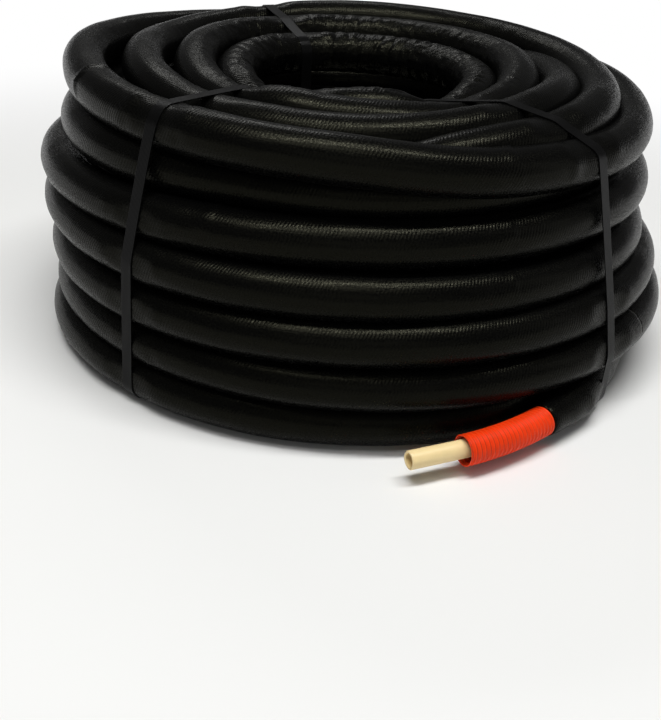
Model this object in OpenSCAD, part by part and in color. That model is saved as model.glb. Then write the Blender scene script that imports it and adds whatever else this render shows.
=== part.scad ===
// Coil of insulated pipe: a plastic pipe in a corrugated conduit, in a foam jacket,
// wound in rows and layers, held by three flat straps, with its end bared.
// Frame: +Z up, floor at z = 0, origin at the centre of the footprint.
// Azimuths are in degrees around the coil's axis: 0 is the front (-Y), 90 is +X.

/* [Pipe] */
// Outer diameter of the foam jacket
jacket_d = 41; // [34:0.5:50]
// Outer diameter of the conduit, over its waves
conduit_d = 27; // [22:0.5:32]
// Bore of the conduit
conduit_bore = 21.6; // [17:0.2:27]
// Distance from one wave of the conduit to the next
wave_pitch = 4.3; // [3:0.1:8]
// Height of a wave
wave_h = 1.4; // [0.6:0.1:2]
// Outer diameter of the inner pipe
pipe_d = 16; // [12:0.5:20]
// Bore of the inner pipe
pipe_bore = 12; // [8:0.5:16]

/* [Coil] */
// Radius of the outermost turns, to the middle of the jacket
wind_r = 284; // [230:1:360]
// Rows of turns, one above the other
rows = 7; // [3:1:10]
// Layers of turns, from the outside in
layers = 5; // [2:1:6]
// Distance between rows, less than jacket_d where the foam is squeezed
row_pitch = 38.5; // [36:0.5:40.5]
// Distance between layers
layer_pitch = 40.5; // [36:0.5:40.5]

/* [Free end] */
// Azimuth where the free end leaves the lowest outer turn
tail_az = 60; // [50:1:80]
// Depth to which the conduit presses into that turn's foam, where it leaves its sleeve
tail_press = 2; // [0:0.5:3]
// Angle by which the free end points further outwards than that takes
tail_out = 0; // [0:0.5:6]
// Bend radius of the free end
tail_r = 286; // [230:1:400]
// Length of jacket from the leaving point to its cut end
sleeve_len = 132; // [90:1:160]
// Length of film drawn tight around the conduit at that end
cuff_len = 26; // [15:1:45]
// Diameter of that cuff
cuff_d = 32; // [31:0.5:36]
// Length of conduit that shows
conduit_show = 104; // [60:1:130]
// Length of conduit and pipe that is modelled inside the jacket
hidden_len = 60; // [40:1:75]
// Length of pipe from the conduit's mouth to the start of its straight end
pipe_bend_len = 11; // [5:1:20]
// Length of the straight end of the pipe
pipe_end_len = 38; // [25:1:60]

/* [Straps] */
// Width of a strap
strap_w = 12; // [8:1:20]
// Thickness of a strap
strap_t = 0.8; // [0.5:0.1:1.2]
// Left strap: azimuth at the bore, at the outer top edge and at the outer foot
strap_left_az = [-38.5, -36, -38.3];
// Right strap: azimuth at the bore, at the outer top edge and at the outer foot
strap_right_az = [31, 47.6, 49.3];
// Back strap: azimuth at the bore, at the outer top edge and at the outer foot
strap_back_az = [211.5, 205, 203];

/* [Fits] */
// Clearance between a strap and the turns
strap_gap = 0.3; // [0.2:0.1:0.6]
// Clearance between the conduit and the jacket's bore
conduit_gap = 0.3; // [0.2:0.1:0.6]
// Clearance between the pipe and the side of the conduit that it lies against
pipe_gap = 0.3; // [0.2:0.1:0.6]

/* [Hidden] */
$fn = 96;

jacket_r = jacket_d / 2;
in_r = wind_r - (layers - 1) * layer_pitch;     // radius of the innermost turns
low_z = strap_gap + strap_t + jacket_r;         // the straps touch the floor
high_z = low_z + (rows - 1) * row_pitch;

function dir(az) = [sin(az), -cos(az)];
function arc(len, r) = len / r * 180 / PI;      // angle that a length covers
function lerp(a, b, t) = a + (b - a) * t;

// The free end is an arc about tail_c. Its own azimuth falls from tail_start on. It leaves
// its turn at the angle that brings its cut end to end_reach from the coil's axis.
sleeve_arc = arc(sleeve_len, tail_r);
end_reach = wind_r + jacket_r + conduit_d / 2 + conduit_gap - tail_press;
end_rise = (end_reach * end_reach - wind_r * wind_r - 2 * tail_r * tail_r * (1 - cos(sleeve_arc)))
    / (4 * wind_r * tail_r * sin(sleeve_arc / 2));
tail_start = tail_az + sleeve_arc / 2 + asin(end_rise) + tail_out;
tail_c = wind_r * dir(tail_az) - tail_r * dir(tail_start);
sleeve_end = tail_start - sleeve_arc;
mouth = sleeve_end - arc(conduit_show, tail_r);
hidden_end = sleeve_end + arc(hidden_len, tail_r);
sleeve_tip = tail_c + tail_r * dir(sleeve_end);
tip_az = atan2(sleeve_tip.x, -sleeve_tip.y);    // its cut end, seen from the coil's axis
tail_tube_r = jacket_r - 0.5;                   // so that it sinks cleanly into its turn

// The pipe lies against the inner side of the conduit.
pipe_r = tail_r - (conduit_bore - pipe_d) / 2 + pipe_gap;
pipe_turn = mouth - arc(pipe_bend_len, pipe_r);
pipe_start = tail_c + pipe_r * dir(pipe_turn);   // of its straight end
pipe_tip = pipe_start - pipe_end_len * [cos(pipe_turn), sin(pipe_turn)];
seam_step = 0.1;                                // between the diameters of its bend and its end
seam_lap = 1;                                   // by which its end laps over its bend

// The footprint reaches from the back of the coil to the tip of the pipe.
back_y = wind_r + jacket_r;
front_y = min(-back_y, pipe_tip.y - pipe_d / 2 * cos(pipe_turn));
shift_y = -(back_y + front_y) / 2;

// Distance from the coil's axis to an arc about tail_c, at an azimuth
function tail_reach(az, r) =
    let (along = dir(az) * tail_c)
    along + sqrt(r * r - tail_c * tail_c + along * along);

// Radius at which a strap finds the lowest outer turn, or the free end further out
function foot_r(az) = az > tip_az && az < tail_az
    ? max(wind_r, tail_reach(az, tail_r + jacket_r) - jacket_r)
    : wind_r;

module frame() translate([0, shift_y, 0]) children();

// A stretch of round bar or tube along the free end, between two of its azimuths
module bend(r, d, from, to, bore = 0)
    translate([tail_c.x, tail_c.y, low_z])
        rotate([0, 0, from - 90])
            rotate_extrude(angle = to - from)
                translate([r, 0])
                    ring(d, bore);

module ring(d, bore)
    difference() {
        circle(d = d);
        if (bore > 0)
            circle(d = bore);
    }

// The wound turns, seen as rings on every side, with the bore through the middle
module turns() {
    rotate_extrude() {
        for (layer = [0 : layers - 1], row = [0 : rows - 1])
            if (layer == 0 || layer == layers - 1 || row == 0 || row == rows - 1)
                translate([wind_r - layer * layer_pitch, low_z + row * row_pitch])
                    circle(d = jacket_d);
        translate([in_r, low_z])
            square([wind_r - in_r, high_z - low_z]);
    }
}

module jacket() color([0.05, 0.05, 0.055]) frame()
    difference() {
        union() {
            turns();
            bend(tail_r, 2 * tail_tube_r, sleeve_end + arc(cuff_len, tail_r), tail_start + 6);
            bend(tail_r, cuff_d, sleeve_end, sleeve_end + arc(cuff_len + 5, tail_r));
        }
        bend(tail_r, conduit_d + 2 * conduit_gap, mouth, hidden_end);
    }

module conduit() color([0.88, 0.22, 0.1]) frame() {
    step = arc(wave_pitch, tail_r);
    waves = floor((hidden_end - mouth) / step);
    root_d = conduit_d - 2 * wave_h;
    bend(tail_r, root_d, mouth, hidden_end, conduit_bore);
    for (i = [0 : waves - 1])
        bend(tail_r, conduit_d, mouth + (i + 0.2) * step, mouth + (i + 0.75) * step,
             (root_d + conduit_bore) / 2);
}

// The bend is a hair thinner than the straight end and ends inside its wall.
module inner_pipe() color([0.93, 0.87, 0.7]) frame() {
    bend(pipe_r, pipe_d - seam_step, pipe_turn, hidden_end, pipe_bore + seam_step);
    translate([pipe_start.x, pipe_start.y, low_z])
        rotate([90, 0, pipe_turn - 90])
            translate([0, 0, -seam_lap])
                linear_extrude(pipe_end_len + seam_lap)
                    ring(pipe_d, pipe_bore);
}

// A strap runs around the stack of turns as a closed band. A station on it is
// [azimuth, r, z, outward r, outward z], about the middle of the turn that it lies on.
// FOOT in place of r is the lowest outer turn, or the free end where that lies further out.
// A strap leans over most just below the top edge, and less and less towards its foot.
FOOT = -1;
corner_steps = 9;

function corner(az, r, z, from, to) =
    [for (i = [0 : corner_steps])
        let (a = lerp(from, to, i / corner_steps))
        [az, r, z, cos(a), sin(a)]];

function strap_path(azs) = concat(
    corner(azs[1], wind_r, high_z, 90, 0),
    [for (row = [rows - 2 : -1 : 1]) let (down = (rows - 1 - row) / (rows - 1))
        [lerp(azs[1], azs[2], sqrt(down)), lerp(wind_r, foot_r(azs[2]), down),
         low_z + row * row_pitch, 1, 0]],
    corner(azs[2], FOOT, low_z, 0, -90),
    corner(azs[0], in_r, low_z, -90, -180),
    corner(azs[0], in_r, high_z, 180, 90));

function turn_r(r, az) = r == FOOT ? foot_r(az) : r;

// One corner of a station: side is -1 or 1 across the band, out is its distance from the turns
function strap_point(s, side, out) =
    let (az = s[0] + side * atan(strap_w / 2 / (turn_r(s[1], s[0]) + jacket_r * s[3])),
         p = (turn_r(s[1], az) + (jacket_r + out) * s[3]) * dir(az))
    [p.x, p.y, s[2] + (jacket_r + out) * s[4]];

module strap(azs) {
    path = strap_path(azs);
    n = len(path);
    points = [for (s = path)
        each [strap_point(s, -1, strap_gap), strap_point(s, 1, strap_gap),
              strap_point(s, 1, strap_gap + strap_t), strap_point(s, -1, strap_gap + strap_t)]];
    faces = [for (i = [0 : n - 1], k = [0 : 3])
        let (j = (i + 1) % n, m = (k + 1) % 4)
        each [[4 * i + k, 4 * j + k, 4 * i + m], [4 * i + m, 4 * j + k, 4 * j + m]]];
    color([0.1, 0.1, 0.11]) frame() polyhedron(points, faces);
}

module strap_left() strap(strap_left_az);
module strap_right() strap(strap_right_az);
module strap_back() strap(strap_back_az);

jacket();
conduit();
inner_pipe();
strap_left();
strap_right();
strap_back();
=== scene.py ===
"""A strapped coil of foam-jacketed pipe with its end bared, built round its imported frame."""

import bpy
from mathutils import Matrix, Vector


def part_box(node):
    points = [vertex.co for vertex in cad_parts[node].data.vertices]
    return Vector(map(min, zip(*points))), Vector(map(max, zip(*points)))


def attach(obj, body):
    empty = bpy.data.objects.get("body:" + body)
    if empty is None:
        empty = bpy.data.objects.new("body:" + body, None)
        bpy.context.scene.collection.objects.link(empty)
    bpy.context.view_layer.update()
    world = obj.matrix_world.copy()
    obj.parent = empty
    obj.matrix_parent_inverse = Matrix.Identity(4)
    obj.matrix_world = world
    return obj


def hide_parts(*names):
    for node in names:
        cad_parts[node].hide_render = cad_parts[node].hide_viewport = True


bl_info = {
    "name": "Coil of Insulated Pipe",
    "version": (1, 0, 0),
    "blender": (4, 5, 0),
    "location": "3D View > Sidebar > Coil",
    "description": "Winds the foam-jacketed pipe and its straps round the packed frame",
    "category": "Mesh",
}

import math

import bmesh
import bpy
import numpy as np
from bpy.props import FloatProperty, FloatVectorProperty, PointerProperty
from mathutils import Matrix, Vector, geometry

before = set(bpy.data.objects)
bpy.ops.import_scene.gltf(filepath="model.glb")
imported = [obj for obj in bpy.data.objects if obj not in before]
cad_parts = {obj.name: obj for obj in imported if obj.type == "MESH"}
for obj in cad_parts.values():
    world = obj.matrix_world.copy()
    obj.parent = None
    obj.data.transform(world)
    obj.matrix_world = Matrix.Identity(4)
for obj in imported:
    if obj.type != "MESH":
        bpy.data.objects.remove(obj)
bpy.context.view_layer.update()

MM = 0.001
TURN = 2 * math.pi
JACKET_LOW, JACKET_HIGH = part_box("jacket")
COIL_Y = JACKET_HIGH.y - (JACKET_HIGH.x - JACKET_LOW.x) / 2  # where the coil's axis stands
STRAIGHT = 10.0     # bend radius in metres from which a track counts as straight
WELD = 0.00002      # distance in metres within which vertices are joined


def linear(hex_colour):
    """An sRGB hex colour as linear red, green and blue."""
    parts = [int(hex_colour[i:i + 2], 16) / 255 for i in (1, 3, 5)]
    return tuple(c / 12.92 if c <= 0.04045 else ((c + 0.055) / 1.055) ** 2.4 for c in parts)


class CoilSizes(bpy.types.PropertyGroup):
    """Sizes of the pipe, its conduit, its foam jacket and the straps"""

    jacket_diameter: FloatProperty(
        name="Jacket diameter", description="Outer diameter of the foam jacket",
        default=0.041, unit="LENGTH")
    conduit_diameter: FloatProperty(
        name="Conduit diameter", description="Outer diameter of the conduit, over its waves",
        default=0.027, unit="LENGTH")
    conduit_bore: FloatProperty(
        name="Conduit bore", description="Clear bore of the conduit",
        default=0.0216, unit="LENGTH")
    wave_pitch: FloatProperty(
        name="Wave pitch", description="Distance from one wave of the conduit to the next",
        default=0.0043, unit="LENGTH")
    pipe_diameter: FloatProperty(
        name="Pipe diameter", description="Outer diameter of the inner pipe",
        default=0.016, unit="LENGTH")
    pipe_bore: FloatProperty(
        name="Pipe bore", description="Bore of the inner pipe", default=0.012, unit="LENGTH")
    strap_width: FloatProperty(
        name="Strap width", description="Width of a strap", default=0.012, unit="LENGTH")
    strap_thickness: FloatProperty(
        name="Strap thickness", description="Thickness of a strap", default=0.0008, unit="LENGTH")
    strap_bite: FloatProperty(
        name="Strap bite", description="How far a strap presses into the foam",
        default=0.0028, unit="LENGTH")
    wrinkle_depth: FloatProperty(
        name="Wrinkle depth", description="Depth of the film's pleats on the tightest turn",
        default=0.0022, unit="LENGTH")


class CoilColours(bpy.types.PropertyGroup):
    """Colours of the materials"""

    film: FloatVectorProperty(
        name="Film", description="Black film over the foam", subtype="COLOR",
        default=linear("#040404"))
    conduit: FloatVectorProperty(
        name="Conduit", description="Corrugated conduit", subtype="COLOR",
        default=linear("#F4400F"))
    pipe: FloatVectorProperty(
        name="Pipe", description="Inner pipe", subtype="COLOR", default=linear("#F3DAA2"))
    strap: FloatVectorProperty(
        name="Strap", description="Straps", subtype="COLOR", default=linear("#060606"))
    floor: FloatVectorProperty(
        name="Floor", description="Floor and backdrop", subtype="COLOR",
        default=linear("#E9E9E7"))


# ---------------- tracks

def unit(vectors):
    """The same directions, each one long."""
    return vectors / np.linalg.norm(vectors, axis=1)[:, None]


def distances(points):
    """How far along a line each of its points is."""
    steps = np.linalg.norm(np.diff(points, axis=0), axis=1)
    return np.concatenate([[0.0], np.cumsum(steps)])


class Track:
    """The middle line of something bent round the coil, as evenly spaced stations in metres."""

    def __init__(self, points, closed=False):
        self.points = points
        self.closed = closed
        self.along = distances(points)
        around = np.vstack([points[-2], points, points[1]]) if closed else points
        tangent = np.gradient(around, axis=0)
        tangent = unit(tangent[1:-1] if closed else tangent)
        self.out = unit(np.cross((0, 0, 1), tangent))
        self.up = np.cross(tangent, self.out)
        turned = np.unwrap(np.arctan2(tangent[:, 1], tangent[:, 0]))
        self.bend = 1 / np.maximum(np.abs(np.gradient(turned, self.along)), 1 / STRAIGHT)

    @property
    def length(self):
        return self.along[-1]

    def polar(self):
        """Azimuth in unbroken degrees, radius and height of every station about the coil."""
        x, y, z = self.points.T
        azimuth = np.degrees(np.unwrap(np.arctan2(x, COIL_Y - y)))
        return azimuth, np.hypot(x, y - COIL_Y), z

    def at(self, along):
        """(point, out, up) at distances along the track, carried straight on past its ends."""
        inside = np.clip(along, 0, self.length)
        pick = [np.stack([np.interp(inside, self.along, a[:, i]) for i in range(3)], 1)
                for a in (self.points, self.out, self.up)]
        tangent = np.cross(pick[1], pick[2])
        pick[0] = pick[0] + tangent * (along - inside)[:, None]
        return pick


def even(points, spacing, closed=False):
    """A Track whose stations are evenly spaced along fine points."""
    along = distances(points)
    count = max(int(round(along[-1] / spacing)), 2) + 1
    wanted = np.linspace(0, along[-1], count)
    return Track(np.stack([np.interp(wanted, along, points[:, i]) for i in range(3)], 1), closed)


def around_coil(azimuth, radius, height):
    """Points in metres from azimuths in degrees, with radii and heights in millimetres."""
    turn = np.radians(azimuth)
    return np.stack([radius * MM * np.sin(turn), COIL_Y - radius * MM * np.cos(turn),
                     height * MM], 1)


def wind(waypoints, spacing, closed=False):
    """A Track through (azimuth, radius, height) waypoints, whose azimuths fall steadily."""
    azimuth, radius, height = np.array(waypoints, float).T
    fine = np.arange(azimuth[0], azimuth[-1], -0.25)
    fine = np.append(fine, azimuth[-1])
    piece = np.clip(np.searchsorted(-azimuth, -fine, side="right") - 1, 0, len(azimuth) - 2)
    span = azimuth[piece + 1] - azimuth[piece]
    u = (fine - azimuth[piece]) / span
    curves = []
    for values in (radius, height):
        slope = np.gradient(values, azimuth)
        if closed:
            slope[0] = slope[-1] = (values[1] - values[-2]) / (azimuth[1] - azimuth[0]
                                                               + azimuth[-1] - azimuth[-2])
        curves.append((2 * u**3 - 3 * u**2 + 1) * values[piece]
                      + (u**3 - 2 * u**2 + u) * span * slope[piece]
                      + (3 * u**2 - 2 * u**3) * values[piece + 1]
                      + (u**3 - u**2) * span * slope[piece + 1])
    radius, height = curves
    return even(around_coil(fine, radius, np.maximum(height, LOW_Z)), spacing, closed)


# The free end is an arc that swings out from the lowest outer turn, as in the frame.
# Lengths here and in the tables below are in millimetres.
WIND_R, TAIL_AZIMUTH, TAIL_OUT, TAIL_R = 284, 60, 14.975, 286
SLEEVE_LENGTH, CONDUIT_SHOWS, PIPE_BEND, PIPE_END = 132, 104, 11, 38
FILM_LIP = 12  # by which the film reaches past the foam, over the conduit
HIDDEN_LENGTH = 50  # of conduit and pipe inside the sleeve
PIPE_GAP = 0.3  # between the pipe and the side of the conduit that it lies against
WAVE_HEIGHT, CONDUIT_WALL = 1.4, 1.1
HALF_JACKET = 20.5
LOW_Z = (JACKET_LOW.z / MM) + HALF_JACKET
HIGH_Z = (JACKET_HIGH.z / MM) - HALF_JACKET
INNER_TOP, ROW_PITCH = 206, 36.9  # height of the row under the top rings, and between rows


def heading(azimuth):
    """The level direction of an azimuth in degrees, seen from the coil's axis."""
    turn = math.radians(azimuth)
    return np.array([math.sin(turn), -math.cos(turn)])


TAIL_CENTRE = WIND_R * heading(TAIL_AZIMUTH) - TAIL_R * heading(TAIL_AZIMUTH + TAIL_OUT)
SLEEVE_END = TAIL_AZIMUTH + TAIL_OUT - math.degrees(SLEEVE_LENGTH / TAIL_R)
MOUTH = SLEEVE_END - math.degrees(CONDUIT_SHOWS / TAIL_R)
HIDDEN_END = SLEEVE_END + math.degrees(HIDDEN_LENGTH / TAIL_R)


def tail_arc(start, end, radius=TAIL_R, straight=0.0):
    """Fine points along the free end between two of its own azimuths, and straight on."""
    turns = np.radians(np.linspace(start, end, 200))
    x = TAIL_CENTRE[0] + radius * np.sin(turns)
    y = TAIL_CENTRE[1] - radius * np.cos(turns)
    if straight:
        run = np.linspace(0, straight, 40)[1:]
        x = np.append(x, x[-1] - run * math.cos(turns[-1]))
        y = np.append(y, y[-1] - run * math.sin(turns[-1]))
    return np.stack([x * MM, COIL_Y + y * MM, np.full(len(x), LOW_Z * MM)], 1)


def tail_waypoints(count=5):
    """The sleeve's part of the free end as (azimuth, radius, height) waypoints."""
    points = tail_arc(TAIL_AZIMUTH + TAIL_OUT - 6, SLEEVE_END - math.degrees(FILM_LIP / TAIL_R))
    azimuth, radius, height = Track(points).polar()
    picks = np.linspace(0, len(points) - 1, count).astype(int)
    return [(azimuth[i], radius[i] / MM, height[i] / MM) for i in picks]


# How the turns lie: azimuth, radius and height of the middle of the jacket.
# From the third top ring the pipe steps down under the top outer turn, becomes the outer
# layer, goes down it by a row a turn, and ends in the free end.
THIRD_RING = [(142, 206, 224), (124, 203, 240), (90, 198, 249), (57, 199, 252), (40, 200, 249),
              (20, 200, 243), (0, 200, 240), (-20, 201, 241), (-45, 203, 242), (-62, 205, 250),
              (-90, 208, 256), (-112, 214, 254), (-135, 221, 256), (-165, 229, 262),
              (-180, 232, 263), (-202, 235, 262), (-225, 238, 259), (-270, 234, 251),
              (-300, 236, 247), (-316, 236, 242), (-330, 234, 239), (-342, 233, 232),
              (-352, 233, 221), (-364, 238, 209), (-382, 246, 207), (-405, 261, 210),
              (-450, 265, 212)]
WINDS_FROM = {"outer_turns": THIRD_RING[0][0], "top_outer_ring": 135}
UPPER_TURNS = [(-450, 265, 212), (-472, 266, 214), (-495, 271, 210), (-540, 282, 197),
               (-585, 280, 195), (-630, 276, 178), (-675, 267, 176), (-720, 266, 174),
               (-765, 277, 171), (-810, 290, 169), (-900, 285, 154), (-990, 276, 133),
               (-1035, 277, 133), (-1080, 280, 134), (-1125, 284, 135), (-1170, 286, 136)]
LOWER_TURNS = [(-1170, 286, 136), (-1260, 286, 119), (-1350, 294, 102), (-1395, 292, 99),
               (-1440, 288, 97), (-1485, 283, 94), (-1530, 281, 91), (-1620, 286, 77),
               (-1710, 307, 62), (-1755, 299, 60), (-1800, 290, 58), (-1845, 281, 56),
               (-1890, 278, 53), (-1980, 284, 37), (-2040, 288, 25), (-2070, 287, LOW_Z)]
TOP_OUTER_RING = [(135, 280, 236), (110, 279, 234), (90, 271, 230), (65, 266, 226),
                  (45, 262, 226), (22, 261, 230), (0, 259, 239), (-20, 258, 243),
                  (-45, 257, 246), (-75, 260, 252), (-90, 265, 255), (-110, 267, 254),
                  (-130, 268, 250), (-180, 275, 240), (-225, 280, 236)]
SECOND_RING = [(90, 158, 256), (57, 160, 246), (33, 160, 240), (10, 160, 242), (-10, 160, 245),
               (-22, 160, 247), (-35, 160, 243), (-47, 159, 241), (-62, 158, 246),
               (-90, 158, 256), (-135, 165, 257), (-180, 172, 256), (-225, 166, 257),
               (-270, 158, 256)]
BORE_RING = [(90, 121, 243), (65, 120, 238), (45, 119, 229), (30, 119, 234), (15, 119, 242),
             (0, 119, 243), (-15, 119, 238), (-30, 119, 231), (-48, 119, 229), (-65, 119, 238),
             (-90, 119, 244), (-180, 119, 246), (-270, 121, 243)]
BORE_TURNS_R = 121
# The bottom layer spirals out from the bore, lies outside at the front and goes up inside.
BOTTOM_TURNS = [(60, 162, LOW_Z), (-60, 162, LOW_Z), (-180, 162, LOW_Z), (-260, 164, LOW_Z),
                (-300, 175, LOW_Z), (-345, 195, LOW_Z), (-400, 203, LOW_Z), (-500, 203, LOW_Z),
                (-620, 203, LOW_Z), (-700, 207, LOW_Z), (-745, 225, LOW_Z), (-790, 242, LOW_Z),
                (-880, 243, LOW_Z), (-960, 243, LOW_Z), (-1018, 245, LOW_Z),
                (-1035, 262, LOW_Z), (-1052, 281, LOW_Z), (-1080, 285, LOW_Z),
                (-1125, 285, LOW_Z), (-1165, 284, LOW_Z), (-1200, 275, LOW_Z + 2),
                (-1225, 263, LOW_Z + 12), (-1250, 254, LOW_Z + 28), (-1270, 250, LOW_Z + 38)]
# A length sunk under the top outer ring, which closes the way through the coil there.
SUNK_TURN = [(152, 258, 206), (124, 261, 204), (96, 261, 201)]


# ---------------- the film's relief

TIGHTEST = 0.119  # bend radius of the ring at the bore, in metres
# Sizes of the relief along the jacket, in millimetres.
PLEAT, PLEAT_DRIFT, PLEAT_WANDER, PLEAT_SIZE = 16, 60, 21, 40
CRUMPLE, FINE_CRUMPLE, CRUMPLE_SHIFT, LUMP, STREAK = 9, 4.8, 12, 34, 150
RING_JOIN = 0.04  # metres over which a ring's relief goes over into its start


def smooth(low, high, value):
    """0 below low, 1 above high, and a soft rise between."""
    t = np.clip((value - low) / (high - low), 0, 1)
    return t * t * (3 - 2 * t)


class SoftNoise:
    """Seeded value noise from -1 to 1 that repeats round a turn."""

    LENGTH = 1021  # steps along, after which it repeats

    def __init__(self, seed, across):
        self.across = across
        self.table = np.random.default_rng(seed).uniform(-1, 1, (self.LENGTH, across))

    def __call__(self, along, angle):
        u = along + (self.LENGTH // 2 + 1)
        v = angle / TURN * self.across
        i, j = np.floor(u).astype(int), np.floor(v).astype(int)
        a, b = smooth(0, 1, u - i), smooth(0, 1, v - j)
        t, n = self.table, self.across
        rows = (i % self.LENGTH, (i + 1) % self.LENGTH)
        cols = (j % n, (j + 1) % n)
        return ((t[rows[0], cols[0]] * (1 - a) + t[rows[1], cols[0]] * a) * (1 - b)
                + (t[rows[0], cols[1]] * (1 - a) + t[rows[1], cols[1]] * a) * b)


class Film:
    """Relief of the film on one length of jacket. Angles are 0 outwards and a quarter turn up."""

    def __init__(self, seed, depth):
        steps_around = (3, 7, 5, 9, 14, 26, 16)
        self.sheets = [SoftNoise(seed * 10 + k, n) for k, n in enumerate(steps_around)]
        self.depth = depth

    def slack(self, angle, bend):
        """How loose the film is, from 0 to 1: most of all inside the tightest turns."""
        tight = TIGHTEST / bend
        reach = 0.05 - 0.7 * smooth(0.4, 1.0, tight)
        inside = smooth(reach, reach + 0.6, -np.cos(angle))
        return inside * (0.28 + 0.72 * smooth(0.45, 0.95, tight))

    def relief(self, along, angle, bend):
        """Height over the plain jacket in metres, at a distance along and an angle round."""
        drift, wander, size, lumps, coarse, fine, streaks = self.sheets
        mm = along / MM
        slack = self.slack(angle, bend)
        pleat = (mm / PLEAT + 0.5 * drift(mm / PLEAT_DRIFT, angle)
                 + 0.3 * wander(mm / PLEAT_WANDER, angle))
        pleats = np.abs(np.sin(math.pi * pleat)) ** 0.6 - 0.75
        pleats *= 0.45 + 0.6 * size(mm / PLEAT_SIZE, angle)
        shift = 0.6 * wander(mm / CRUMPLE_SHIFT, angle)
        crumple = (0.4 - np.abs(coarse(mm / CRUMPLE + shift, angle))) * 0.5
        crumple += (0.4 - np.abs(fine(mm / FINE_CRUMPLE - shift, angle))) * 0.22
        height = self.depth * slack * (crumple + 1.25 * smooth(0.45, 1.0, slack) * pleats)
        height += 0.3 * MM * lumps(mm / LUMP, angle)
        return height + 0.16 * MM * streaks(mm / STREAK, angle)


# ---------------- meshes

def straight_tube(sides, stations, capped):
    """A tube of unit radius along +X, with its stations one apart."""
    tube = bmesh.new()
    length = stations - 1
    lying = Matrix.Translation((length / 2, 0, 0)) @ Matrix.Rotation(math.pi / 2, 4, "Y")
    bmesh.ops.create_cone(tube, cap_ends=capped, cap_tris=False, segments=sides,
                          radius1=1, radius2=1, depth=length, matrix=lying)
    sides_along = [e for e in tube.edges if abs(e.verts[0].co.x - e.verts[1].co.x) > 0.5]
    bmesh.ops.subdivide_edges(tube, edges=sides_along, cuts=stations - 2, use_grid_fill=True)
    bmesh.ops.recalc_face_normals(tube, faces=tube.faces)
    return tube


def read(mesh_items, field, width):
    """One field of all of a mesh's items, with a row for each item."""
    values = np.empty(len(mesh_items) * width)
    mesh_items.foreach_get(field, values)
    return values.reshape(-1, width) if width > 1 else values


def bend_tube(name, track, radius, sides, material, film=None, stations=None):
    """Bends a straight tube along a track. radius is one value or one for each station."""
    along = track.along if stations is None else stations
    count = len(along)
    tube = straight_tube(sides, count, not track.closed)
    mesh = bpy.data.meshes.new(name)
    tube.to_mesh(mesh)
    tube.free()
    straight = read(mesh.vertices, "co", 3)
    station = np.rint(straight[:, 0]).astype(int)
    angle = np.arctan2(straight[:, 2], straight[:, 1])
    point, out, up = track.at(along)
    radii = np.broadcast_to(np.asarray(radius, float), (count,))
    height = np.zeros(len(station))
    if film is not None:
        run = along[station]
        bend = np.interp(run, track.along, track.bend)
        height = film.relief(run, angle, bend)
        if track.closed:
            join = smooth(track.length - RING_JOIN, track.length, run)
            height = height * (1 - join) + film.relief(run - track.length, angle, bend) * join
        slack = mesh.attributes.new("slack", "FLOAT", "POINT")
        slack.data.foreach_set("value", film.slack(angle, bend))
    reach = (radii[station] + height)[:, None]
    placed = (point[station] + reach * (np.cos(angle)[:, None] * out[station]
                                        + np.sin(angle)[:, None] * up[station]))
    write_uv(mesh, along, station, angle, float(radii.mean()))
    mesh.vertices.foreach_set("co", placed.ravel())
    mesh.update()
    if track.closed:
        weld(mesh)
    return add_piece(name, mesh, material)


def add_uv(mesh, u, v):
    """Gives a mesh its UV map, with one value of each for every corner."""
    mesh.uv_layers.new(name="UVMap").data.foreach_set("uv", np.stack([u, v], 1).ravel())


def write_uv(mesh, along, station, angle, radius):
    """Lays metres along the tube and metres round it on the mesh as its UV map."""
    corner = read(mesh.loops, "vertex_index", 1).astype(int)
    start = read(mesh.polygons, "loop_start", 1).astype(int)
    total = read(mesh.polygons, "loop_total", 1).astype(int)
    first = np.repeat(angle[corner[start]], total)
    turn = angle[corner]
    turn = turn - TURN * np.round((turn - first) / TURN)
    add_uv(mesh, along[station[corner]], turn * radius)


def weld(mesh):
    """Joins the two ends of a ring that meet."""
    ring = bmesh.new()
    ring.from_mesh(mesh)
    bmesh.ops.remove_doubles(ring, verts=ring.verts, dist=WELD)
    ring.to_mesh(mesh)
    ring.free()


def add_object(name, data):
    """Adds an object with its mesh, lamp or camera to the scene."""
    added = bpy.data.objects.new(name, data)
    bpy.context.scene.collection.objects.link(added)
    return added


def add_piece(name, mesh, material):
    """Shades a finished mesh smooth and adds it as a piece of the coil."""
    mesh.polygons.foreach_set("use_smooth", [len(p.vertices) <= 4 for p in mesh.polygons])
    mesh.materials.append(material)
    piece = add_object(name, mesh)
    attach(piece, "root")
    return piece


# ---------------- straps

# Azimuth at the bore, at the outer top edge and at the outer foot.
STRAPS = {"strap_left": (-38.5, -36, -38.3), "strap_right": (31, 47.6, 49.3),
          "strap_back": (211.5, 205, 203)}
LEAN_FROM, LEAN_RUN = 115, WIND_R - 120  # radii over which a strap goes from bore to outside
ANGLES = np.arange(0, TURN, TURN / 72)


def strap_azimuth(azimuths, radius, height):
    """Where a strap is at a radius and a height, in degrees."""
    bore, top, foot = azimuths
    down = np.clip((HIGH_Z - height / MM) / (HIGH_Z - LOW_Z), 0, 1)
    outside = top + (foot - top) * np.sqrt(down)
    return bore + (outside - bore) * np.clip((radius / MM - LEAN_FROM) / LEAN_RUN, 0, 1)


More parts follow.
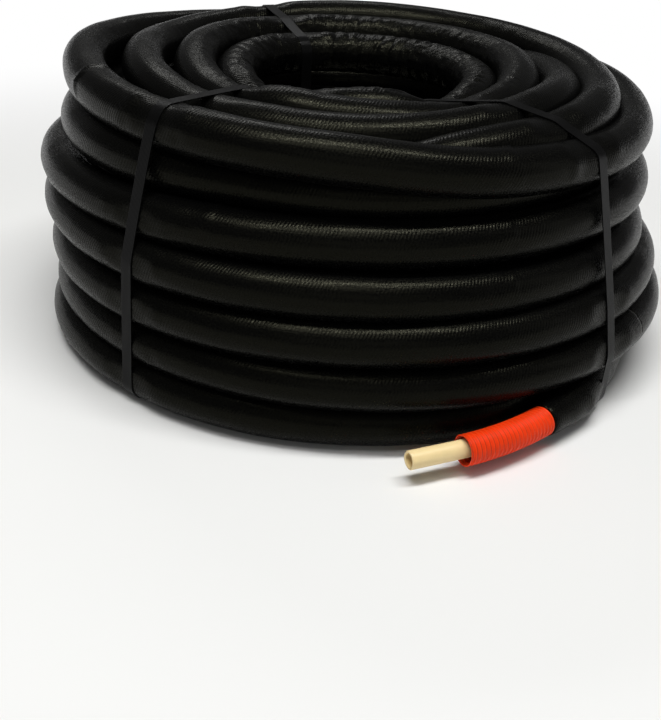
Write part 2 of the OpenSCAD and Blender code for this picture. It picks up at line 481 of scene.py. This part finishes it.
def crossings(track, azimuths):
    """(radius, height, distance along) at every place where a strap crosses a track."""
    azimuth, radius, height = track.polar()
    off = azimuth - strap_azimuth(azimuths, radius, height)
    found = []
    for turns in range(-8, 9):
        gap = off - 360 * turns
        for i in np.nonzero(gap[:-1] * gap[1:] <= 0)[0]:
            if abs(gap[i]) < 20:
                t = gap[i] / (gap[i] - gap[i + 1]) if gap[i] != gap[i + 1] else 0.0
                found.append((radius[i] + t * (radius[i + 1] - radius[i]),
                              height[i] + t * (height[i + 1] - height[i]),
                              track.along[i] + t * (track.along[i + 1] - track.along[i])))
    return found


def press(angle):
    """How much of the strap's bite is left at an angle round the jacket: none under the coil."""
    return np.clip(1 + np.sin(angle), 0, 1)


def strap_plan(azimuths, tracks, sizes):
    """The taut closed line of a strap's outer face, and how it limits each turn it crosses.

    The line is (radius, height) points. A limit is the turn's name, the distance along it and
    the height that its film may have over the plain jacket at each of ANGLES."""
    jacket, thickness = sizes.jacket_diameter / 2, sizes.strap_thickness
    found = [(name, *crossing) for name, track in tracks.items()
             for crossing in crossings(track, azimuths)]
    reach = jacket + thickness - sizes.strap_bite * press(ANGLES)
    rays = np.stack([np.cos(ANGLES), np.sin(ANGLES)], 1)
    spots = np.vstack([(r, z) + reach[:, None] * rays for _, r, z, _ in found])
    line = spots[geometry.convex_hull_2d([Vector(spot) for spot in spots])]
    edges = np.roll(line, -1, axis=0) - line
    outwards = unit(np.stack([edges[:, 1], -edges[:, 0]], 1) + 1e-12)
    outwards *= np.sign((outwards * (line - line.mean(axis=0))).sum(axis=1))[:, None]
    facing = np.maximum(rays @ outwards.T, 1e-6)
    limits = []
    for name, r, z, along in found:
        room = (outwards * (line - (r, z))).sum(axis=1) - thickness
        limits.append((name, along, (room / facing).min(axis=1) - jacket))
    return line, limits


def counted_azimuth(name, track):
    """Azimuths of a track's stations, counted on from turn to turn as in its waypoints."""
    azimuth = track.polar()[0]
    return azimuth + (WINDS_FROM.get(name, azimuth[0]) - azimuth[0])


# Azimuths, counted on in that way, at which the film laps over itself on the upper side.
LAPS = {"top_outer_ring": (28.5, -62), "outer_turns": (-691.5, -743, -1052)}
LAP_EDGE, LAP_LENGTH = 0.6 * MM, 20 * MM
STRAP_DENT = (8 * MM, 34 * MM)  # from a strap's middle, where its dent starts and stops to fade
PUCKERS = (20 * MM, 48 * MM)    # the same for the puckers beside it
PUCKER_HEIGHT = 1.2 * MM


class Pressed:
    """A film with its laps, the dents that the straps leave in it and the puckers beside them."""

    def __init__(self, film, name, track, plans):
        self.film = film
        self.slack = film.slack
        self.limits = [limit[1:] for _, limits in plans.values() for limit in limits
                       if limit[0] == name]
        azimuth = counted_azimuth(name, track)
        self.laps = [np.interp(-lap, -azimuth, track.along) for lap in LAPS.get(name, ())]

    def relief(self, along, angle, bend):
        height = self.film.relief(along, angle, bend)
        puckers, uneven = self.film.sheets[4:6]
        for where in self.laps:
            past = along - where + 3 * MM * uneven(np.full_like(along, where), angle)
            step = smooth(-LAP_EDGE, LAP_EDGE, past) * (1 - smooth(0, LAP_LENGTH, past))
            step *= smooth(-0.2, 0.9, np.sin(angle + 0.5))
            height += MM * step * (0.6 + 1.2 * puckers(along / (12 * MM), angle))
        for where, limit in self.limits:
            off = np.abs(along - where)
            close = off < PUCKERS[1]
            if not close.any():
                continue
            cap = np.interp(angle[close], ANGLES, limit, period=TURN)
            over = 1 - smooth(*STRAP_DENT, off[close])
            beside = (1 - smooth(*PUCKERS, off[close])) * (1 - over)
            held = 1 - smooth(0, 6 * MM, cap)
            uplift = puckers(along[close] / (14 * MM), angle[close])
            height[close] += PUCKER_HEIGHT * beside * held * uplift
            height[close] += np.minimum(cap - height[close], 0) * over
        return height


def strap_band(name, line, azimuths, width, thickness, material):
    """A flat band whose outer face follows a strap's closed line."""
    closed = np.vstack([line, line[:1]])
    along = distances(closed)
    count = int(round(along[-1] / (3 * MM)))
    wanted = np.linspace(0, along[-1], count + 1)
    radius = np.interp(wanted, along, closed[:, 0])
    height = np.interp(wanted, along, closed[:, 1])
    azimuth = strap_azimuth(azimuths, radius, height)
    middle = around_coil(azimuth, radius / MM, height / MM)
    around = np.vstack([middle[-2], middle, middle[1]])
    tangent = unit(around[2:] - around[:-2])
    turn = np.radians(azimuth)
    sideways = np.stack([np.cos(turn), np.sin(turn), 0 * turn], 1)
    sideways = unit(sideways - tangent * (sideways * tangent).sum(1)[:, None])

    band = bmesh.new()
    bmesh.ops.create_grid(band, x_segments=count, y_segments=8, size=0.5)
    mesh = bpy.data.meshes.new(name)
    band.to_mesh(mesh)
    flat = read(mesh.vertices, "co", 3)
    station = np.rint((flat[:, 0] + 0.5) * count).astype(int)
    side = flat[:, 1] * width
    mesh.vertices.foreach_set("co", (middle[station] + side[:, None] * sideways[station]).ravel())
    corner = read(mesh.loops, "vertex_index", 1).astype(int)
    add_uv(mesh, wanted[station[corner]], side[corner])
    band.clear()
    band.from_mesh(mesh)
    bmesh.ops.remove_doubles(band, verts=band.verts, dist=WELD)
    bmesh.ops.recalc_face_normals(band, faces=band.faces)
    if max(band.faces, key=lambda face: face.calc_center_median().z).normal.z < 0:
        bmesh.ops.reverse_faces(band, faces=band.faces)
    bmesh.ops.solidify(band, geom=band.faces[:], thickness=thickness)
    for edge in band.edges:
        edge.smooth = len(edge.link_faces) != 2 or edge.calc_face_angle() <= 1
    band.to_mesh(mesh)
    band.free()
    return add_piece(name, mesh, material)


# ---------------- materials

def add_node(tree, kind, inputs=None, **settings):
    """Adds a shader node with its settings, and sets or links its inputs."""
    node = tree.nodes.new("ShaderNode" + kind)
    for name, value in settings.items():
        setattr(node, name, value)
    for name, value in (inputs or {}).items():
        if isinstance(value, bpy.types.NodeSocket):
            tree.links.new(value, node.inputs[name])
        else:
            node.inputs[name].default_value = value
    return node


def wave_scale(spacing):
    """The scale at which a Wave texture's bands lie so many metres apart."""
    return math.pi / 10 / spacing


def rgba(colour, share=1.0):
    """A colour with full alpha, made lighter or darker by a share."""
    return (*(min(c * share, 1) for c in colour), 1)


def empty_tree(owner):
    """The node tree of a material or a world, with nothing in it."""
    owner.use_nodes = True
    owner.node_tree.nodes.clear()
    return owner.node_tree


def new_material(name):
    """A material without nodes, and its tree."""
    material = bpy.data.materials.new(name)
    return material, empty_tree(material)


def add_surface(tree, inputs):
    """Ends a material's tree in one Principled shader."""
    shader = add_node(tree, "BsdfPrincipled", inputs)
    add_node(tree, "OutputMaterial", {"Surface": shader.outputs["BSDF"]})


def film_material(colours):
    """Polyethylene film, extruded over the foam and drawn over it in the winding.

    Black and half glossy; a grain that is smooth in one spot and dull in the next splits the
    highlights into speckles, slanting ribs cross them, and slack film is creased all over."""
    material, tree = new_material("extruded_polyethylene_film")
    place = add_node(tree, "TexCoord").outputs["UV"]
    slack = add_node(tree, "Attribute", attribute_name="slack").outputs["Fac"]
    slanted = add_node(tree, "Mapping",
                       {"Vector": place, "Rotation": (0, 0, math.radians(-22))})
    ribs = add_node(tree, "TexWave",
                    {"Vector": slanted.outputs["Vector"], "Scale": wave_scale(2.7 * MM),
                     "Distortion": 1.4, "Detail": 1.0, "Detail Scale": 1.2},
                    bands_direction="X", wave_profile="SIN")
    patches = add_node(tree, "TexNoise", {"Vector": place, "Scale": 22.0, "Detail": 3.0})
    shown = add_node(tree, "MapRange",
                     {"Value": patches.outputs["Fac"], "From Min": 0.36, "From Max": 0.6,
                      "To Min": 0.15})
    stretched = add_node(tree, "Mapping", {"Vector": place, "Scale": (40, 480, 1)})
    streaks = add_node(tree, "TexNoise",
                       {"Vector": stretched.outputs["Vector"], "Scale": 1.0, "Detail": 3.0})
    # a grain 1.6 mm wide, coarser than the real one, which the render can't show
    grain = add_node(tree, "TexNoise",
                     {"Vector": place, "Scale": 620.0, "Detail": 2.0, "Roughness": 0.6})
    creases = add_node(tree, "TexNoise",
                       {"Vector": place, "Scale": 240.0, "Detail": 3.0, "Roughness": 0.6,
                        "Distortion": 0.6}, noise_type="RIDGED_MULTIFRACTAL")
    ribbed = add_node(tree, "Math",
                      {0: ribs.outputs["Fac"], 1: shown.outputs["Result"]}, operation="MULTIPLY")
    creased = add_node(tree, "Math", {0: creases.outputs["Fac"], 1: slack},
                       operation="MULTIPLY")
    normal = None
    for height, strength, distance in ((streaks.outputs["Fac"], 0.4, 0.0004),
                                       (ribbed.outputs["Value"], 0.45, 0.0003),
                                       (grain.outputs["Fac"], 0.3, 0.0003),
                                       (creased.outputs["Value"], 0.7, 0.0007)):
        inputs = {"Height": height, "Strength": strength, "Distance": distance}
        if normal:
            inputs["Normal"] = normal
        normal = add_node(tree, "Bump", inputs).outputs["Normal"]
    gloss = add_node(tree, "MapRange",
                     {"Value": grain.outputs["Fac"], "From Min": 0.38, "From Max": 0.62,
                      "To Min": 0.16, "To Max": 0.42})
    tint = add_node(tree, "Mix",
                    {"Factor": streaks.outputs["Fac"], "A": rgba(colours.film),
                     "B": rgba(colours.film, 1.8)}, data_type="RGBA")
    add_surface(tree, {"Base Color": tint.outputs["Result"], "Normal": normal,
                       "Roughness": gloss.outputs["Result"], "Specular IOR Level": 0.065,
                       "Specular Tint": (1.0, 0.98, 0.68, 1)})
    return material


def conduit_material(colours, pitch):
    """Corrugated polyethylene conduit, blown in a mould: half glossy, with shade painted darker
    into its valleys.
    """
    material, tree = new_material("blow_moulded_polyethylene")
    place = add_node(tree, "TexCoord").outputs["UV"]
    run = add_node(tree, "SeparateXYZ", {"Vector": place}).outputs["X"]
    phase = add_node(tree, "Math", {0: run, 1: TURN / pitch}, operation="MULTIPLY")
    wave = add_node(tree, "Math", {0: phase.outputs["Value"]}, operation="COSINE")
    # painted shade: the colour falls to 0.4 of the conduit's own in the valleys between the waves
    crest = add_node(tree, "MapRange",
                     {"Value": wave.outputs["Value"], "From Min": -1.0, "From Max": 0.2})
    grime = add_node(tree, "TexNoise", {"Vector": place, "Scale": 120.0, "Detail": 4.0})
    soft = add_node(tree, "MapRange",
                    {"Value": grime.outputs["Fac"], "To Min": 0.82, "To Max": 1.12})
    tint = add_node(tree, "Mix",
                    {"Factor": crest.outputs["Result"], "A": rgba(colours.conduit, 0.4),
                     "B": rgba(colours.conduit)}, data_type="RGBA")
    valley_shade_and_grime = add_node(tree, "HueSaturation",
                     {"Color": tint.outputs["Result"], "Value": soft.outputs["Result"]})
    orange_peel = add_node(tree, "TexNoise", {"Vector": place, "Scale": 700.0})
    bump = add_node(tree, "Bump",
                    {"Height": orange_peel.outputs["Fac"], "Strength": 0.25, "Distance": 0.0003})
    add_surface(tree, {"Base Color": valley_shade_and_grime.outputs["Color"], "Normal": bump.outputs["Normal"],
                       "Roughness": 0.4, "Specular IOR Level": 0.18})
    return material


def pipe_material(colours):
    """Extruded cross-linked polyethylene pipe: creamy, waxy, with faint lines along it."""
    material, tree = new_material("extruded_polyethylene_pipe")
    place = add_node(tree, "TexCoord").outputs["UV"]
    stretched = add_node(tree, "Mapping", {"Vector": place, "Scale": (20, 900, 1)})
    lines = add_node(tree, "TexNoise",
                     {"Vector": stretched.outputs["Vector"], "Scale": 1.0, "Detail": 3.0})
    clouds = add_node(tree, "TexNoise", {"Vector": place, "Scale": 90.0, "Detail": 3.0})
    tint = add_node(tree, "Mix",
                    {"Factor": clouds.outputs["Fac"], "A": rgba(colours.pipe, 0.9),
                     "B": rgba(colours.pipe, 1.06)}, data_type="RGBA")
    bump = add_node(tree, "Bump",
                    {"Height": lines.outputs["Fac"], "Strength": 0.3, "Distance": 0.0002})
    add_surface(tree, {"Base Color": tint.outputs["Result"], "Normal": bump.outputs["Normal"],
                       "Roughness": 0.36, "IOR": 1.5})
    return material


def strap_material(colours):
    """Polypropylene strapping, drawn and embossed: satin, with fine ribs along it."""
    material, tree = new_material("drawn_polypropylene_strapping")
    place = add_node(tree, "TexCoord").outputs["UV"]
    # ribs that the render can show; the real ones are finer
    ribs = add_node(tree, "TexWave",
                    {"Vector": place, "Scale": wave_scale(1.5 * MM), "Distortion": 0.4},
                    bands_direction="Y", wave_profile="SIN")
    wear = add_node(tree, "TexNoise", {"Vector": place, "Scale": 300.0, "Detail": 4.0})
    ribbed = add_node(tree, "Bump",
                      {"Height": ribs.outputs["Fac"], "Strength": 0.5, "Distance": 0.0002})
    worn = add_node(tree, "Bump",
                    {"Height": wear.outputs["Fac"], "Strength": 0.3, "Distance": 0.0003,
                     "Normal": ribbed.outputs["Normal"]})
    tint = add_node(tree, "Mix",
                    {"Factor": wear.outputs["Fac"], "A": rgba(colours.strap),
                     "B": rgba(colours.strap, 1.8)}, data_type="RGBA")
    add_surface(tree, {"Base Color": tint.outputs["Result"], "Normal": worn.outputs["Normal"],
                       "Roughness": 0.3, "Specular IOR Level": 0.065})
    return material


def seen_ray(tree):
    """1 for a ray from the camera, off a gloss or through glass, and 0 for one that lights."""
    rays = add_node(tree, "LightPath")
    seen = rays.outputs["Is Camera Ray"]
    for kind in ("Is Glossy Ray", "Is Transmission Ray"):
        seen = add_node(tree, "Math", {0: seen, 1: rays.outputs[kind]},
                        operation="MAXIMUM").outputs["Value"]
    return seen


def floor_material(colours):
    """Painted board: matt and pale, so that shadows show; further out it goes over into white."""
    material, tree = new_material("painted_board")
    board = add_node(tree, "BsdfPrincipled",
                     {"Base Color": rgba(colours.floor), "Roughness": 0.9})
    place = add_node(tree, "TexCoord").outputs["Object"]
    away = add_node(tree, "VectorMath", {0: place}, operation="LENGTH")
    far = add_node(tree, "MapRange",
                   {"Value": away.outputs["Value"], "From Min": 0.45, "From Max": 1.3},
                   interpolation_type="SMOOTHSTEP")
    shown = add_node(tree, "Math", {0: far.outputs["Result"], 1: seen_ray(tree)},
                     operation="MULTIPLY")
    white = add_node(tree, "Emission", {"Color": (1, 1, 1, 1), "Strength": 1.0})
    mix = add_node(tree, "MixShader",
                   {0: shown.outputs["Value"], 1: board.outputs["BSDF"],
                    2: white.outputs["Emission"]})
    add_node(tree, "OutputMaterial", {"Surface": mix.outputs["Shader"]})
    return material


# ---------------- the coil's lengths

def outer_winding():
    """From the third top ring to the sleeve's end, as one track."""
    to_tail = 360 * 6
    sleeve = [(a - to_tail, r, z) for a, r, z in tail_waypoints()]
    return wind(THIRD_RING + UPPER_TURNS[1:] + LOWER_TURNS[1:] + sleeve, 2.4 * MM)


def bore_winding():
    """The six rows that line the bore, below the bore ring."""
    wander = np.random.default_rng(31)
    turns = [(-90 * k, BORE_TURNS_R + wander.uniform(-2, 2),
              INNER_TOP - ROW_PITCH * k / 4 + wander.uniform(-2, 2)) for k in range(20)]
    level = [(-1800 - 90 * k, BORE_TURNS_R, LOW_Z) for k in range(5)]
    return wind(turns + level, 3 * MM)


def flat_winding(height, first, last, turns, seed, spacing):
    """A spiral in one layer, from one radius to another and once more round there."""
    wander = np.random.default_rng(seed)
    steps = int(turns * 8) + 1
    azimuths = -45 * np.arange(steps + 8)
    radii = np.append(np.linspace(first, last, steps), np.full(8, last))
    radii += wander.uniform(-2, 2, len(azimuths))
    return wind([(a, r, height) for a, r in zip(azimuths, radii)], spacing)


def shown_tracks():
    """Every track that a strap can touch, by the name of its piece or group of pieces."""
    return {
        "outer_turns": outer_winding(),
        "top_outer_ring": wind(TOP_OUTER_RING, 2.4 * MM, closed=True),
        "second_ring": wind(SECOND_RING, 1.6 * MM, closed=True),
        "bore_ring": wind(BORE_RING, 1.3 * MM, closed=True),
        "bore_turns": bore_winding(),
        "bottom_turns": wind(BOTTOM_TURNS, 3 * MM),
    }


def strap_plans(tracks, sizes):
    """The line and the limits of each strap, by its name."""
    return {name: strap_plan(azimuths, tracks, sizes) for name, azimuths in STRAPS.items()}


# The seed of each track's film.
FILMS = {"outer_turns": 3, "top_outer_ring": 5, "second_ring": 7, "bore_ring": 9,
         "bore_turns": 11, "bottom_turns": 13}


def pressed_tracks(sizes):
    """Every shown track and its film with the straps' dents, by name."""
    tracks = shown_tracks()
    plans = strap_plans(tracks, sizes)
    return {name: (track, Pressed(Film(FILMS[name], sizes.wrinkle_depth), name, track, plans))
            for name, track in tracks.items()}


def jacket_piece(name, track, film, sizes, radius=None, stations=None, sides=28):
    """One length of jacket as a finished piece."""
    material = bpy.data.materials.get("extruded_polyethylene_film")
    material = material or film_material(bpy.context.scene.coil_colours)
    radius = sizes.jacket_diameter / 2 if radius is None else radius
    piece = bend_tube(name, track, radius, sides, material, film, stations)
    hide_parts("jacket")
    return piece


def sleeve_radii(track, along, sizes):
    """The jacket's radius at distances along the outer turns: the film is drawn in at the end."""
    left = (track.length - along) / MM
    foam = sizes.jacket_diameter / 2 / MM
    conduit = sizes.conduit_diameter / 2 / MM
    return MM * np.interp(left, [0, 4, 10, 20, 32, 42, 52, 68],
                          [conduit + 0.5, conduit + 1.5, conduit + 1.9, conduit + 2.6,
                           conduit + 4.2, foam - 1.8, foam - 0.5, foam])


# ---------------- stage

# Place, size in metres and power in watts of each lamp.
LAMPS = [("key", (0.1, -0.45, 2.35), (2.2, 0.16), 54),
         ("front_key", (-0.3, -1.2, 2.1), (1.6, 0.2), 7),
         ("back", (-0.6, 1.8, 1.9), (1.4, 0.3), 10),
         ("front_fill", (0.2, -2.4, 1.1), (2.2, 0.5), 3),
         ("right_fill", (2.2, -0.4, 1.0), (0.8, 1.2), 2)]
LAMP_AIM = (0, 0, 0.12)
WORLD_LIGHT = 0.12
HORIZON = 0.1  # rise, up to which the backdrop fades from white to the world's own grey
FLOOR_REACH = 8
CAMERA_PLACE = (-0.0094, -1.0065, 0.4716)
CAMERA_DOWN, CAMERA_ROLL = 27.85, 3.25  # degrees
CAMERA_LENS, CAMERA_SENSOR = 51.25, 36  # millimetres


def add_floor(colours):
    """A wide floor at z = 0, which isn't part of the object."""
    grid = bmesh.new()
    bmesh.ops.create_grid(grid, x_segments=1, y_segments=1, size=FLOOR_REACH)
    mesh = bpy.data.meshes.new("floor")
    grid.to_mesh(mesh)
    grid.free()
    mesh.materials.append(floor_material(colours))
    ground = add_object("floor", mesh)


def add_lamps():
    """Soft boxes that all look at the coil."""
    for name, place, size, power in LAMPS:
        data = bpy.data.lights.new(name, "AREA")
        data.shape = "RECTANGLE"
        data.size, data.size_y = size
        data.energy = power
        lamp = add_object(name, data)
        lamp.location = place
        aim = Vector(LAMP_AIM) - Vector(place)
        lamp.rotation_euler = aim.to_track_quat("-Z", "Y").to_euler()


def add_backdrop():
    """A dim world, which a seen ray finds white at the horizon."""
    world = bpy.data.worlds.new("studio")
    tree = empty_tree(world)
    towards = add_node(tree, "TexCoord").outputs["Generated"]
    rise = add_node(tree, "SeparateXYZ", {"Vector": towards}).outputs["Z"]
    shown = add_node(tree, "MapRange",
                     {"Value": rise, "From Min": 0.0, "From Max": HORIZON, "To Min": 1.0,
                      "To Max": WORLD_LIGHT}, interpolation_type="SMOOTHSTEP")
    strength = add_node(tree, "MapRange",
                        {"Value": seen_ray(tree), "To Min": WORLD_LIGHT,
                         "To Max": shown.outputs["Result"]})
    sky = add_node(tree, "Background",
                   {"Color": (1, 1, 1, 1), "Strength": strength.outputs["Result"]})
    add_node(tree, "OutputWorld", {"Surface": sky.outputs["Background"]})
    bpy.context.scene.world = world


def add_camera():
    """The main view, from the front and above, rolled a little."""
    data = bpy.data.cameras.new("camera")
    data.lens = CAMERA_LENS
    data.sensor_width = CAMERA_SENSOR
    camera = add_object("camera", data)
    camera.matrix_world = (Matrix.Translation(CAMERA_PLACE)
                           @ Matrix.Rotation(math.radians(90 - CAMERA_DOWN), 4, "X")
                           @ Matrix.Rotation(math.radians(CAMERA_ROLL), 4, "Z"))
    bpy.context.scene.camera = camera


# ---------------- operators

# The outer winding's pieces, and the azimuths at which it is cut into them.
OUTER_PIECES = ("third_ring", "upper_outer_turns", "middle_outer_turns", "lower_outer_turns")
OUTER_CUTS = (-480, -1200, -1740)


class COIL_OT_outer_turns(bpy.types.Operator):
    """Wind the third top ring and the outer layer down to the sleeve of the free end"""

    bl_idname = "coil.outer_turns"
    bl_label = "Outer turns"

    def execute(self, context):
        sizes = context.scene.coil_sizes
        track, film = pressed_tracks(sizes)["outer_turns"]
        azimuth = counted_azimuth("outer_turns", track)
        cuts = [0, *(int(np.argmin(np.abs(azimuth - cut))) for cut in OUTER_CUTS),
                len(azimuth) - 1]
        for name, start, end in zip(OUTER_PIECES, cuts, cuts[1:]):
            along = track.along[start:end + 1]
            jacket_piece(name, track, film, sizes, sleeve_radii(track, along, sizes), along)
        return {"FINISHED"}


class COIL_OT_top_rings(bpy.types.Operator):
    """Lay the top outer ring, the second ring and the ring at the bore"""

    bl_idname = "coil.top_rings"
    bl_label = "Top rings"

    def execute(self, context):
        sizes = context.scene.coil_sizes
        pressed = pressed_tracks(sizes)
        for name, sides in (("top_outer_ring", 32), ("second_ring", 60), ("bore_ring", 72)):
            jacket_piece(name, *pressed[name], sizes, sides=sides)
        return {"FINISHED"}


class COIL_OT_inner_turns(bpy.types.Operator):
    """Wind the turns that line the bore, the bottom layer and the turns between"""

    bl_idname = "coil.inner_turns"
    bl_label = "Inner turns"

    def execute(self, context):
        sizes = context.scene.coil_sizes
        pressed = pressed_tracks(sizes)
        for name in ("bore_turns", "bottom_turns"):
            jacket_piece(name, *pressed[name], sizes, sides=24)
        under = flat_winding(INNER_TOP, 152, 243, 2.75, 33, 4 * MM)
        jacket_piece("upper_middle_turns", under, Film(15, sizes.wrinkle_depth), sizes, sides=24)
        jacket_piece("sunk_turn", wind(SUNK_TURN, 4 * MM), None, sizes, sides=24)
        for row in range(1, 5):
            core = flat_winding(LOW_Z + ROW_PITCH * row, 152, 248, 2.75, 40 + row, 12 * MM)
            jacket_piece(f"middle_turns_{row}", core, None, sizes, sides=12)
        return {"FINISHED"}


class COIL_OT_conduit(bpy.types.Operator):
    """Make the bared end of the corrugated conduit"""

    bl_idname = "coil.conduit"
    bl_label = "Conduit"

    def execute(self, context):
        sizes = context.scene.coil_sizes
        material = conduit_material(context.scene.coil_colours, sizes.wave_pitch)
        track = even(tail_arc(HIDDEN_END, MOUTH), sizes.wave_pitch / 12)
        left = track.length - track.along
        crest = np.clip(0.5 + 0.85 * np.cos(TURN * left / sizes.wave_pitch), 0, 1)
        outside = sizes.conduit_diameter / 2 - WAVE_HEIGHT * MM * (1 - smooth(0, 1, crest))
        inside = outside - CONDUIT_WALL * MM
        along = np.concatenate([track.along, track.along[::-1]])
        radii = np.concatenate([outside, inside[::-1]])
        piece = bend_tube("conduit_shell", track, radii, 48, material, stations=along)
        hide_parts("conduit")
        return {"FINISHED"}


class COIL_OT_inner_pipe(bpy.types.Operator):
    """Make the inner pipe that comes out of the conduit"""

    bl_idname = "coil.inner_pipe"
    bl_label = "Inner pipe"

    def execute(self, context):
        sizes = context.scene.coil_sizes
        material = pipe_material(context.scene.coil_colours)
        radius = TAIL_R - (sizes.conduit_bore - sizes.pipe_diameter) / 2 / MM + PIPE_GAP
        turn = MOUTH - math.degrees(PIPE_BEND / radius)
        track = even(tail_arc(HIDDEN_END, turn, radius, PIPE_END), 2 * MM)
        outer, bore = sizes.pipe_diameter / 2, sizes.pipe_bore / 2
        edge = 0.4 * MM
        rim = track.length
        back = track.along[::-1]
        along = np.concatenate([track.along[:-1], [rim - edge, rim, rim, rim - edge], back[1:]])
        radii = np.concatenate([np.full(len(track.along), outer), [outer - edge, bore + edge],
                                np.full(len(back), bore)])
        piece = bend_tube("pipe_end", track, radii, 48, material, stations=along)
        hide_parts("inner_pipe")
        return {"FINISHED"}


class COIL_OT_straps(bpy.types.Operator):
    """Draw the three straps tight round the turns"""

    bl_idname = "coil.straps"
    bl_label = "Straps"

    def execute(self, context):
        sizes = context.scene.coil_sizes
        material = strap_material(context.scene.coil_colours)
        plans = strap_plans(shown_tracks(), sizes)
        for name, (line, _) in plans.items():
            piece = strap_band(name + "_band", line, STRAPS[name], sizes.strap_width,
                               sizes.strap_thickness, material)
            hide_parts(name)
        return {"FINISHED"}


class COIL_OT_stage(bpy.types.Operator):
    """Set up the floor, the soft lights, the backdrop and the camera"""

    bl_idname = "coil.stage"
    bl_label = "Stage"

    def execute(self, context):
        add_floor(context.scene.coil_colours)
        add_lamps()
        add_backdrop()
        add_camera()
        context.scene.view_settings.view_transform = "Standard"
        return {"FINISHED"}


class COIL_PT_parts(bpy.types.Panel):
    """The coil's pieces, sizes and colours"""

    bl_idname = "COIL_PT_parts"
    bl_label = "Coil of insulated pipe"
    bl_space_type = "VIEW_3D"
    bl_region_type = "UI"
    bl_category = "Coil"

    def draw(self, context):
        layout = self.layout
        for settings in (context.scene.coil_sizes, context.scene.coil_colours):
            box = layout.box()
            for name in settings.bl_rna.properties.keys():
                if name not in {"rna_type", "name"}:
                    box.prop(settings, name)
        for operator in OPERATORS:
            layout.operator(operator.bl_idname)


OPERATORS = (COIL_OT_stage, COIL_OT_outer_turns, COIL_OT_top_rings, COIL_OT_inner_turns,
             COIL_OT_conduit, COIL_OT_inner_pipe, COIL_OT_straps)
CLASSES = (CoilSizes, CoilColours, *OPERATORS, COIL_PT_parts)


def register():
    for cls in CLASSES:
        bpy.utils.register_class(cls)
    bpy.types.Scene.coil_sizes = PointerProperty(type=CoilSizes)
    bpy.types.Scene.coil_colours = PointerProperty(type=CoilColours)


def unregister():
    del bpy.types.Scene.coil_colours
    del bpy.types.Scene.coil_sizes
    for cls in reversed(CLASSES):
        bpy.utils.unregister_class(cls)


def main():
    register()
    for operator in OPERATORS:
        group, name = operator.bl_idname.split(".")
        getattr(getattr(bpy.ops, group), name)()


if __name__ == "__main__":
    main()
